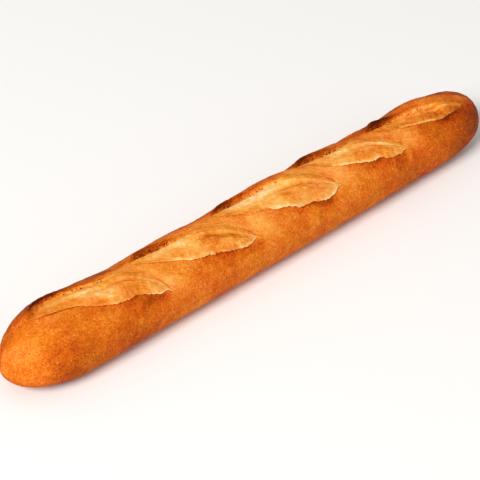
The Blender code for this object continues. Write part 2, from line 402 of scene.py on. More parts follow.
@dataclass(frozen=True)
class LoafForm:
    """The plain loaf before it is slashed: a long bolster with a flat base."""

    length: float
    half_width: float = 34.8 * MM
    height: float = 57.0 * MM
    waist: float = 0.42 * 57.0 * MM
    base_power: float = 2.5
    base_overshoot: float = 1.10
    end_length: float = 51.0 * MM
    base_end_length: float = 72.0 * MM
    base_end_power: float = 2.4
    near_end_power: float = 1.85
    far_end_power: float = 2.5
    far_taper: float = 0.11
    swell: float = 0.7 * MM
    girth: float = 206.0 * MM

    def round_end(self, x: np.ndarray, length: float, power: np.ndarray | float) -> np.ndarray:
        """Give how full the loaf is towards its ends.

        Args:
            x: where along the loaf.
            length: how long the rounded end is.
            power: how square the end is.

        Returns:
            1 in the middle and 0 at the tips.
        """
        depth = np.clip((np.abs(x) - (self.length / 2 - length)) / length, 0.0, 1.0)
        return (1.0 - depth**power) ** (1.0 / power)

    def station(self, x: np.ndarray) -> tuple[np.ndarray, np.ndarray, np.ndarray]:
        """Give the half width, the top's height and the base's height at x."""
        power = np.where(x > 0, self.far_end_power, self.near_end_power)
        full = self.round_end(x, self.end_length, power)
        full = full * (1.0 - self.far_taper * (2 * np.maximum(x, 0.0) / self.length) ** 2.5)
        swollen = sum(self.swell * bump(cut.share(x), -0.05, 0.55, 1.15) for cut in CUTS) * full
        base = self.waist * (1.0 - self.round_end(x, self.base_end_length, self.base_end_power))
        top = self.waist + (self.height - self.waist) * full**0.9 + swollen
        return self.half_width * full + swollen, top, base

    def section(self, angle: np.ndarray, flat: np.ndarray | float = 1.0) -> tuple[np.ndarray, np.ndarray]:
        """Give the section at an angle from the far side, as shares of its size.

        Args:
            angle: the angle.
            flat: how much of its full flat the base has.

        Returns:
            The place across and the rise.
        """
        across, rise = np.cos(angle), np.sin(angle)
        power = 2.0 / self.base_power
        low_across = np.sign(across) * np.abs(across) ** power
        overshoot = 1.0 + (self.base_overshoot - 1.0) * flat
        low_rise = np.maximum(-overshoot * np.abs(rise) ** power, -1.0)
        return np.where(rise >= 0, across, low_across), np.where(rise >= 0, rise, low_rise)

    def angle_at(self, place: np.ndarray) -> np.ndarray:
        """Give the section's angle at a place round the loaf, in metres from its top line."""
        angles = np.linspace(math.pi / 2, 2.5 * math.pi, 721)
        across, rise = self.section(angles)
        up = np.where(rise >= 0, self.height - self.waist, self.waist)
        steps = np.hypot(np.diff(self.half_width * across), np.diff(up * rise))
        places = np.concatenate([[0.0], np.cumsum(steps)])
        return np.interp(place % self.girth, places * self.girth / places[-1], angles)

    def skin(self, x: np.ndarray, place: np.ndarray, height: np.ndarray) -> np.ndarray:
        """Give points on the loaf.

        Args:
            x: where along the loaf.
            place: where round it.
            height: how far the point is raised from the plain skin.

        Returns:
            The points, with their three coordinates last.
        """
        half_width, top, base = self.station(x)
        across, rise = self.section(self.angle_at(place), 1.0 - smooth_step(base / (2.5 * MM)))
        reach = np.where(rise >= 0, top - self.waist, self.waist - base)
        out_y, out_z = across / half_width, rise / reach
        size = np.hypot(out_y, out_z)
        y = half_width * across + height * out_y / size
        z = np.maximum(self.waist + reach * rise + height * out_z / size, base)
        return np.stack(np.broadcast_arrays(x, y, z), axis=-1)


# Helpers for meshes and node trees -----------------------------------------------------


def closed_tube(name: str, rings: np.ndarray, tips: tuple[np.ndarray, np.ndarray]) -> bpy.types.Mesh:
    """Make a closed mesh from rings of points and a tip at each end.

    Args:
        name: the mesh's name.
        rings: the points, by ring, then by track, then by coordinate.
        tips: the two end points.

    Returns:
        A smooth mesh with its faces outwards.
    """
    count, tracks = rings.shape[:2]
    index = np.arange(count * tracks).reshape(count, tracks)
    following = np.roll(index, -1, axis=1)
    quads = np.stack([index[:-1], index[1:], following[1:], following[:-1]], axis=-1).reshape(-1, 4)
    first_tip, last_tip = count * tracks, count * tracks + 1
    caps = [(a, b, first_tip) for a, b in zip(index[0], following[0])]
    caps += [(b, a, last_tip) for a, b in zip(index[-1], following[-1])]
    points = np.concatenate([rings.reshape(-1, 3), np.array(tips)])
    low, high = points[quads[:, 0]], points[quads[:, 2]]
    volume = np.einsum("ij,ij->", np.cross(low, points[quads[:, 1]]), high)
    volume += np.einsum("ij,ij->", np.cross(low, high), points[quads[:, 3]])
    faces = [*quads.tolist(), *caps]
    if volume < 0:
        faces = [face[::-1] for face in faces]
    mesh = bpy.data.meshes.new(name)
    mesh.from_pydata(points.tolist(), [], faces)
    mesh.shade_smooth()
    return mesh


def paint(mesh: bpy.types.Mesh, layer: Layer, values: np.ndarray) -> None:
    """Store a value for each point of a tube's mesh.

    Args:
        mesh: a mesh from closed_tube.
        layer: the name of the values.
        values: by ring and by track, and by coordinate for a vector. The tips take the
            values of the first and the last point.
    """
    flat = values.reshape(values.shape[0] * values.shape[1], -1)
    full = np.concatenate([flat, flat[:1], flat[-1:]])
    vector = full.shape[1] == 3
    attribute = mesh.attributes.new(layer.value, "FLOAT_VECTOR" if vector else "FLOAT", "POINT")
    attribute.data.foreach_set("vector" if vector else "value", full.astype(np.float32).ravel())


def show(name: str, mesh: bpy.types.Mesh) -> bpy.types.Object:
    """Give a mesh an object of the same name in the scene.

    Args:
        name: the object's name.
        mesh: its mesh.

    Returns:
        The object, at the origin.
    """
    piece = bpy.data.objects.new(name, mesh)
    bpy.context.scene.collection.objects.link(piece)
    return piece


def declare(piece: bpy.types.Object) -> None:
    """Say that a piece rides on the loaf's body and stands for its solid."""
    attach(piece, BODY)
    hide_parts(NODE)
    LOG.info("%s: %d faces", piece.name, len(piece.data.polygons))


def add_node(tree: bpy.types.NodeTree, kind: str, inputs: dict | None = None, **settings) -> bpy.types.Node:
    """Add a node to a tree.

    Args:
        tree: a shader tree or a geometry tree.
        kind: the node's type.
        inputs: by the socket's name or number, a value or the socket to link from.
        **settings: the node's own settings.

    Returns:
        The node.
    """
    node = tree.nodes.new(kind)
    for name, value in settings.items():
        setattr(node, name, value)
    for key, value in (inputs or {}).items():
        if isinstance(value, bpy.types.NodeSocket):
            tree.links.new(value, node.inputs[key])
        else:
            node.inputs[key].default_value = value
    return node


def linear(colour: str) -> tuple[float, float, float, float]:
    """Turn an sRGB hex colour into a linear one.

    Args:
        colour: six hex digits after a hash.

    Returns:
        Red, green, blue and an alpha of 1.
    """
    parts = [int(colour[index:index + 2], 16) / 255 for index in (1, 3, 5)]
    turned = [part / 12.92 if part <= 0.04045 else ((part + 0.055) / 1.055) ** 2.4 for part in parts]
    return (*turned, 1.0)


# Finishes ------------------------------------------------------------------------------


@dataclass(frozen=True)
class BakedFinish:
    """A baked surface whose colour runs from straw to dark brown with its browning.

    The browning that the mesh carries is broken up by patches, by mottle, by fine specks and
    by streaks that follow the tear, and small paler specks are painted in as glints, a painted highlight.
    """

    name: str
    stops: tuple[tuple[float, str], ...]
    roughness: float
    specular: float
    patch: float = 34.0 * MM
    patch_share: float = 0.16
    mottle: float = 6.5 * MM
    mottle_share: float = 0.20
    speck: float = 1.9 * MM
    speck_share: float = 0.26
    streak: float = 1.5 * MM
    streak_share: float = 0.10
    tint_share: float = 0.0
    relief_shading_share: float = 0.0
    pebble: float = 1.5 * MM
    pebble_share: float = 0.0
    pebble_tone: float = 0.0
    glint: float = 3.4 * MM
    glint_share: float = 0.0
    hue_patch: float = 24.0 * MM
    hue_share: float = 0.010
    warp: float = 1.6 * MM
    bump_depth: float = 0.25 * MM

    def build(self) -> bpy.types.Material:
        """Make the material.

        Returns:
            A material that reads the mesh's browning and the object's own coordinates.
        """
        material = bpy.data.materials.new(self.name)
        material.use_nodes = True
        tree = material.node_tree
        tree.nodes.clear()
        place = add_node(tree, "ShaderNodeTexCoord").outputs["Object"]
        browning = add_node(tree, "ShaderNodeAttribute", attribute_name=Layer.BAKE.value).outputs["Fac"]
        grain = add_node(tree, "ShaderNodeAttribute", attribute_name=Layer.GRAIN.value).outputs["Vector"]
        fibre = add_node(tree, "ShaderNodeAttribute", attribute_name=Layer.FIBRE.value).outputs["Fac"]
        tint = add_node(tree, "ShaderNodeAttribute", attribute_name=Layer.TINT.value).outputs["Fac"]
        raised = add_node(tree, "ShaderNodeAttribute", attribute_name=Layer.RELIEF.value).outputs["Fac"]
        stretched = add_node(tree, "ShaderNodeVectorMath", {0: grain, 1: (0.09, 1.0, 1.0)},
                             operation="MULTIPLY").outputs[0]
        fine = None
        for vector, size, share, detail in (
            (place, self.patch, self.patch_share, 2.0),
            (place, self.mottle, self.mottle_share, 3.0),
            (place, self.speck, self.speck_share, 3.0),
            (stretched, self.streak, self.streak_share, 2.0),
        ):
            noise = add_node(tree, "ShaderNodeTexNoise",
                             {"Vector": vector, "Scale": 1.0 / size, "Detail": detail, "Roughness": 0.6})
            fine = noise.outputs["Fac"] if vector is place else fine
            centred = add_node(tree, "ShaderNodeMath", {0: noise.outputs["Fac"], 1: 0.5},
                               operation="SUBTRACT").outputs[0]
            if vector is stretched:
                centred = add_node(tree, "ShaderNodeMath", {0: centred, 1: fibre},
                                   operation="MULTIPLY").outputs[0]
            browning = add_node(tree, "ShaderNodeMath", {0: centred, 1: 4.0 * share, 2: browning},
                                operation="MULTIPLY_ADD").outputs[0]
        browning = add_node(tree, "ShaderNodeMath", {0: tint, 1: self.tint_share, 2: browning},
                            operation="MULTIPLY_ADD").outputs[0]
        # Painted shade and highlight: the hollows of the fine relief are painted darker and its peaks paler.
        browning = add_node(tree, "ShaderNodeMath", {0: raised, 1: -self.relief_shading_share, 2: browning},
                            operation="MULTIPLY_ADD").outputs[0]
        stir = add_node(tree, "ShaderNodeTexNoise", {"Vector": place, "Scale": 0.4 / self.pebble, "Detail": 2.0})
        shift = add_node(tree, "ShaderNodeVectorMath", {0: stir.outputs["Color"], "Scale": self.warp},
                         operation="SCALE").outputs[0]
        stirred = add_node(tree, "ShaderNodeVectorMath", {0: place, 1: shift}, operation="ADD").outputs[0]
        pebbles = add_node(tree, "ShaderNodeTexVoronoi",
                           {"Vector": stirred, "Scale": 1.0 / self.pebble, "Smoothness": 0.8},
                           feature="SMOOTH_F1").outputs["Distance"]
        glints = add_node(tree, "ShaderNodeTexVoronoi", {"Vector": stirred, "Scale": 1.0 / self.glint},
                          feature="F1").outputs["Distance"]
        between_pebbles = add_node(tree, "ShaderNodeMath", {0: pebbles, 1: 0.36}, operation="SUBTRACT")
        bare = add_node(tree, "ShaderNodeMath", {0: fibre, 1: -0.7, 2: 1.0}, operation="MULTIPLY_ADD")
        # Painted highlight: small paler specks, the glints, are painted into the colour where light would catch the
        # grain.
        painted_glints = add_node(tree, "ShaderNodeMapRange", {"Value": glints, "From Min": 0.10, "From Max": 0.30,
                                                     "To Min": self.glint_share, "To Max": 0.0},
                        interpolation_type="SMOOTHSTEP")
        grainy = add_node(tree, "ShaderNodeMath",
                          {0: between_pebbles.outputs[0], 1: self.pebble_tone}, operation="MULTIPLY")
        grainy = add_node(tree, "ShaderNodeMath", {0: grainy.outputs[0], 1: painted_glints.outputs[0]},
                          operation="SUBTRACT")
        browning = add_node(tree, "ShaderNodeMath",
                            {0: grainy.outputs[0], 1: bare.outputs[0], 2: browning},
                            operation="MULTIPLY_ADD").outputs[0]
        ramp = add_node(tree, "ShaderNodeValToRGB", {"Fac": browning})
        elements = ramp.color_ramp.elements
        while len(elements) < len(self.stops):
            elements.new(0.5)
        for element, (position, colour) in zip(elements, self.stops):
            element.position = position
            element.color = linear(colour)
        drift = add_node(tree, "ShaderNodeTexNoise",
                         {"Vector": place, "Scale": 1.0 / self.hue_patch, "Detail": 1.0})
        hue = add_node(tree, "ShaderNodeMapRange", {
            "Value": drift.outputs["Fac"], "From Min": 0.3, "From Max": 0.7,
            "To Min": 0.5 - self.hue_share / 2, "To Max": 0.5 + self.hue_share / 2})
        colour = add_node(tree, "ShaderNodeHueSaturation",
                          {"Hue": hue.outputs[0], "Color": ramp.outputs["Color"]})
        height = add_node(tree, "ShaderNodeMath", {0: pebbles, 1: -self.pebble_share, 2: fine},
                          operation="MULTIPLY_ADD").outputs[0]
        relief = add_node(tree, "ShaderNodeBump",
                          {"Strength": 0.6, "Distance": self.bump_depth, "Height": height})
        shader = add_node(tree, "ShaderNodeBsdfPrincipled", {
            "Base Color": colour.outputs["Color"],
            "Roughness": self.roughness,
            "Specular IOR Level": self.specular,
            "Normal": relief.outputs["Normal"],
        })
        add_node(tree, "ShaderNodeOutputMaterial", {"Surface": shader.outputs["BSDF"]})
        return material


# Crust: starch and sugar browned in a steamed oven, matt with a faint sheen. Colour runs from
# straw where the crust tore late, through orange, to dark brown on the thin raised edges.
CRUST = BakedFinish(
    "baked wheat crust",
    ((0.0, "#fbc272"), (0.25, "#f69d44"), (0.5, "#de6f14"), (0.72, "#ae4505"), (1.0, "#5c1e04")),
    roughness=0.60,
    specular=0.06,
    patch_share=0.08,
    mottle_share=0.07,
    speck=1.5 * MM,
    speck_share=0.12,
    streak_share=0.14,
    relief_shading_share=0.14,
    pebble_share=0.8,
    pebble_tone=0.23,
    glint_share=0.14,
    bump_depth=0.55 * MM,
)

# Crumb: dough torn open in the oven and dried, so it is matt, pale and rough, with toasted
# high points and pits that stay in the dark.
CRUMB = BakedFinish(
    "torn baked crumb",
    ((0.0, "#f7d8a0"), (0.25, "#f3b25c"), (0.5, "#e68428"), (0.74, "#b04c0c"), (0.88, "#7c3006"),
     (1.0, "#50300c")),
    roughness=0.75,
    specular=0.06,
    patch=20.0 * MM,
    patch_share=0.06,
    mottle=4.0 * MM,
    mottle_share=0.09,
    speck=1.5 * MM,
    speck_share=0.08,
    streak=1.3 * MM,
    streak_share=0.06,
    relief_shading_share=0.15,
    bump_depth=0.25 * MM,
)


# The crust -----------------------------------------------------------------------------


@dataclass(frozen=True)
class CrustShell:
    """The crust: a closed shell of rings across the loaf and slanting tracks along it."""

    form: LoafForm
    middle_rings: int = 404
    end_rings: int = 30
    spare_tracks: int = 22
    slant: float = 0.333
    block_width: float = 30.6 * MM
    steps: tuple[int, ...] = (5, 4, 3, 2, 3, 2, 1, 1, 2, 3, 3, 4)
    ear_height: float = 4.4 * MM
    ear_lean: float = 1.5 * MM
    crease_depth: float = 2.6 * MM
    recess: float = 3.4 * MM
    apron_depth: float = 3.0 * MM
    far_margin: float = 13.0 * MM
    near_margin: float = 12.0 * MM
    # The middle of a painted highlight on the near end's dome, where the crust is made paler as if lit.
    painted_highlight: tuple[float, float, float] = (-256.0 * MM, -13.0 * MM, 43.0 * MM)

    def rows(self) -> np.ndarray:
        """Give the x of each ring, closer together towards the tips."""
        reach = self.form.length / 2 - self.form.end_length
        middle = np.linspace(-reach, reach, self.middle_rings + 1)
        turn = np.linspace(0.0, math.pi / 2, self.end_rings + 2)[1:-1]
        ends = reach + self.form.end_length * np.sin(turn)
        tip = self.form.length / 2 - 0.02 * MM
        return np.concatenate([[-tip], -ends[::-1], middle, ends, [tip]])

    def margin(self, x: np.ndarray, cut: Cut, side: Edge) -> np.ndarray:
        """Give how much of its full margin a slash may take beside one edge.

        Args:
            x: the x of each ring.
            cut: the slash.
            side: which edge.

        Returns:
            Shares up to 1, less where the next slash is near.
        """
        order = CUTS.index(cut) + (1 if side is Edge.FAR else -1)
        if not 0 <= order < len(CUTS):
            return np.ones_like(x)
        other = CUTS[order]
        upper, lower = (other, cut) if side is Edge.FAR else (cut, other)
        gap = lower.edge(x, Edge.FAR) - upper.edge(x, Edge.NEAR)
        share = np.clip(0.96 * gap / (self.far_margin + self.near_margin), 0.15, 1.0)
        return 1.0 + other.weight(x) * (share - 1.0)

    def profile(self, cut: Cut, x: np.ndarray) -> tuple[np.ndarray, np.ndarray]:
        """Give the section of the crust through one slash, from behind its ear on.

        Args:
            cut: the slash.
            x: the x of each ring.

        Returns:
            The places round the loaf and the heights, by ring and by track.
        """
        share = cut.share(x)
        far, near = cut.edge(x, Edge.FAR), cut.edge(x, Edge.NEAR)
        behind, beside = self.margin(x, cut, Edge.FAR), self.margin(x, cut, Edge.NEAR)
        opened, ear_share = cut.open(x), cut.ear_at(x)
        wobble = lattice_noise(x, 0.0, 7.0 * MM, cut.seed) + 0.6 * lattice_noise(x, 0.0, 2.6 * MM, cut.seed + 1)
        ear = self.ear_height * ear_share * (1.0 + 0.10 * wobble)
        lean = self.ear_lean * ear_share * (1.0 + 0.35 * wobble)
        late = cut.late(x) * opened
        crease = self.crease_depth * cut.crease_at(x)
        apron = self.apron_depth * bump(share, 0.26, 0.74, 0.99)
        sunk = self.recess * opened
        stations = (
            (far - self.far_margin * behind, 0.0 * x),
            (far - 6.0 * MM * behind, 0.34 * ear),
            (far - 2.7 * MM * behind + 0.4 * lean, 0.90 * ear - 0.1 * MM * late),
            (far - 1.2 * MM * behind + lean, ear - 0.2 * MM * late),
            (far - 1.1 * MM * behind + 0.8 * lean, 0.86 * ear - 0.3 * MM * opened),
            (far - 0.5 * MM, 0.20 * ear - 0.4 * crease - 0.5 * sunk),
            (far + 0.6 * MM, -crease - sunk),
            (near - 0.5 * (near - far), -0.65 * crease - 1.3 * sunk),
            (near - 1.8 * MM, -0.35 * crease - sunk),
            (near - 0.5 * MM, -0.3 * MM * opened - 0.6 * apron),
            (near + 2.0 * MM * beside, -0.95 * apron),
            (near + 5.2 * MM * beside, -0.8 * apron),
            (near + self.near_margin * beside, 0.0 * x),
        )
        table = spread(len(stations), self.steps)
        places = np.stack([place for place, _ in stations], axis=1) @ table.T
        heights = np.stack([height for _, height in stations], axis=1) @ table.T
        return places, heights

    def net(self, x: np.ndarray) -> tuple[np.ndarray, np.ndarray, dict[str, int]]:
        """Lay the tracks round the loaf.

        Args:
            x: the x of each ring.

        Returns:
            The places and the heights by ring and by track, and the first track of each slash.
        """
        per_cut = sum(self.steps) + 1
        blocks, firsts = [], {}
        for order, cut in enumerate(reversed(CUTS)):
            middle_x, middle_place = cut.middle()
            offsets = (np.arange(per_cut) - (per_cut - 1) / 2) * self.block_width / per_cut
            blocks.append((middle_place - self.slant * middle_x) + offsets)
            firsts[cut.name] = order * per_cut
        held = np.concatenate(blocks)
        gap = self.form.girth - (held[-1] - held[0])
        spare = held[-1] + gap * np.arange(1, self.spare_tracks + 1) / (self.spare_tracks + 1)
        free = np.concatenate([held, spare])
        places = free[None, :] + self.slant * x[:, None]
        heights = np.zeros_like(places)
        profiles = {cut.name: self.profile(cut, x) for cut in CUTS}
        weights = {cut.name: cut.weight(x) for cut in CUTS}
        for row in range(len(x)):
            full = [cut.name for cut in CUTS if weights[cut.name][row] >= 1.0]
            part = [cut.name for cut in CUTS if 0.0 < weights[cut.name][row] < 1.0]
            base = self.fit(places[row], {name: profiles[name][0][row] for name in full}, firsts)
            laid = base.copy()
            for name in part:
                wanted = {other: profiles[other][0][row] for other in [*full, name]}
                laid += weights[name][row] * (self.fit(places[row], wanted, firsts) - base)
            places[row] = laid
            for name in [*full, *part]:
                first = firsts[name]
                heights[row, first:first + per_cut] = profiles[name][1][row]
        return places, heights, firsts

    def fit(self, free: np.ndarray, held: dict[str, np.ndarray], firsts: dict[str, int]) -> np.ndarray:
        """Move the free tracks of one ring so that the held ones are where they are held.

        Args:
            free: where the tracks run when no slash holds them.
            held: the places that each slash holds, by its name.
            firsts: the first track of each slash, by its name.

        Returns:
            The places of all the tracks.
        """
        if not held:
            return free.copy()
        numbers = np.concatenate([firsts[name] + np.arange(len(places)) for name, places in held.items()])
        wanted = np.concatenate(list(held.values()))
        order = np.argsort(numbers)
        start, goal = free[numbers[order]], wanted[order]
        girth = self.form.girth
        return np.interp(free, np.concatenate([start - girth, start, start + girth]),
                         np.concatenate([goal - girth, goal, goal + girth]))

    def from_painted_highlight(self, points: np.ndarray) -> np.ndarray:
        """Give how far points are from the middle of the pale patch on the near end, a painted highlight where the
        light falls on the dome.
        """
        return np.linalg.norm(points - np.array(self.painted_highlight), axis=-1)

    def browning(self, x: np.ndarray, places: np.ndarray, points: np.ndarray,
                 firsts: dict[str, int]) -> np.ndarray:
        """Give how brown the crust is, with some painted shade and painted highlights mixed in.

        Args:
            x: the x of each ring, as a column.
            places: the places by ring and by track.
            points: the points by ring and by track, in metres.
            firsts: the first track of each slash.

        Returns:
            The browning by ring and by track.
        """
        around = self.around(places)
        side = np.abs(around)
        brown = 0.47 + 0.05 * smooth_step((side - 40.0 * MM) / (30.0 * MM))
        brown = brown + 0.12 * smooth_step((side - 78.0 * MM) / (12.0 * MM))
        brown = brown + 0.05 * smooth_step((x - 60.0 * MM) / (90.0 * MM))
        brown = brown + 0.15 * smooth_step((x - 196.0 * MM) / (60.0 * MM)) + 0.13 * ridge(around, -25.0 * MM, 10.0 * MM)
        brown = brown + 0.12 * ridge(x, 250.0 * MM, 26.0 * MM) * ridge(around, 32.0 * MM, 16.0 * MM)
        # Painted highlight: the crust is made paler round a point on the near end's dome.
        brown = brown - 0.07 * (1.0 - smooth_step((self.from_painted_highlight(points) - 5.0 * MM) / (18.0 * MM)))
        brown = brown + 0.06 * ridge(x, -232.0 * MM, 20.0 * MM) + patches_at(x, around, CRUST_PATCHES_AND_PAINTED_LIGHT)
        lower = smooth_step((around - 22.0 * MM) / (24.0 * MM))
        brown = brown + 0.10 * lower * smooth_step((-118.0 * MM - x) / (55.0 * MM))
        brown = brown + 0.07 * lower * smooth_step((x - 105.0 * MM) / (50.0 * MM))
        tracks = np.arange(places.shape[1], dtype=float)[None, :]
        for cut in CUTS:
            share, opened = cut.share(x), cut.open(x)
            far, near = cut.edge(x, Edge.FAR), cut.edge(x, Edge.NEAR)
            uneven = 1.0 + 0.4 * lattice_noise(x, places, 9.0 * MM, cut.seed + 20)
            # Darker crust just under each torn rim: partly its own colour, partly painted shade from the overhanging
            # crumb.
            under = bump(share, 0.32, 0.80, 1.06) * ridge(places, near + 3.0 * MM, 6.0 * MM)
            bridge = bump(share, 0.30, 0.85, 1.35) * ridge(places, far - 6.0 * MM, 8.0 * MM)
            shelf = bump(share, -0.15, 0.12, 0.50) * ridge(places, near + 4.0 * MM, 7.0 * MM)
            end_x, end_place = cut.end[0] * MM, cut.end[1] * MM
            knot = ridge(x, end_x + 4.0 * MM, 13.0 * MM) * ridge(places, end_place - 12.0 * MM, 15.0 * MM)
            lighter = 0.08 * bridge + 0.07 * shelf + 0.14 * knot * uneven
            brown = brown + 0.18 * under * uneven - lighter
            number = tracks - firsts[cut.name]
            early = bump(share, -0.06, 0.06, cut.scorch_end)
            wall = smooth_step((number - 9.0) / 3.0) * smooth_step((26.0 - number) / 2.0)
            brown = brown + wall * opened * 0.90 * cut.scorch * early
            singed = 0.8 * cut.ear_at(x) + 0.5 * bump(share, -0.10, 0.04, 0.28)
            brown = brown + (0.06 + 0.60 * cut.scorch) * ridge(number, 9.0, 6.0) * singed
        return brown

    def around(self, places: np.ndarray) -> np.ndarray:
        """Give places round the loaf as distances from its top line, up to half the girth."""
        return (places + self.form.girth / 2) % self.form.girth - self.form.girth / 2

    def fibres(self, x: np.ndarray, places: np.ndarray) -> np.ndarray:
        """Give how strong the stretch marks are, which run along the bridges of crust.

        Args:
            x: the x of each ring, as a column.
            places: the places by ring and by track.

        Returns:
            The strength by ring and by track.
        """
        marks = 0.25 + 0.0 * places
        for cut in CUTS:
            spread_out = ridge(places, cut.edge(x, Edge.FAR) - 8.0 * MM, 11.0 * MM)
            marks = marks + 0.8 * bump(cut.share(x), -0.10, 0.70, 1.30) * spread_out
        return np.minimum(marks, 1.0)

    def build(self) -> bpy.types.Object:
        """Make the crust.

        Returns:
            The crust, without its fine relief.
        """
        x = self.rows()
        places, heights, firsts = self.net(x)
        column = x[:, None]
        heights = heights + sum(cut.lift(column, places) for cut in CUTS)
        rings = self.form.skin(column, places, heights)
        tips = [np.array([side * self.form.length / 2, 0.0, self.form.waist]) for side in (-1, 1)]
        mesh = closed_tube("crust", rings, (tips[0], tips[1]))
        above = smooth_step((rings[:, :, 2] - 1.0 * MM) / (9.0 * MM))
        ends = smooth_step((self.form.length / 2 - np.abs(column)) / (4.0 * MM))
        numbers = np.arange(places.shape[1])[None, :] * self.block_width / (sum(self.steps) + 1)
        paint(mesh, Layer.BAKE, self.browning(column, places, rings, firsts))
        paint(mesh, Layer.ROUGH, above * ends)
        tracks = np.arange(places.shape[1], dtype=float)[None, :]
        ears = sum(cut.ear_at(column) * ridge(tracks, firsts[cut.name] + 10.0, 6.0) for cut in CUTS)
        paint(mesh, Layer.SEED, ears * above * ends)
        from_seam = np.minimum(tracks, tracks[:, ::-1])
        paint(mesh, Layer.FIBRE, self.fibres(column, places) * smooth_step(from_seam / 6.0))
        grain = np.stack(np.broadcast_arrays(column, numbers, 0.0 * places), axis=-1)
        paint(mesh, Layer.GRAIN, grain)
        return show("crust", mesh)


# The torn crumb ------------------------------------------------------------------------


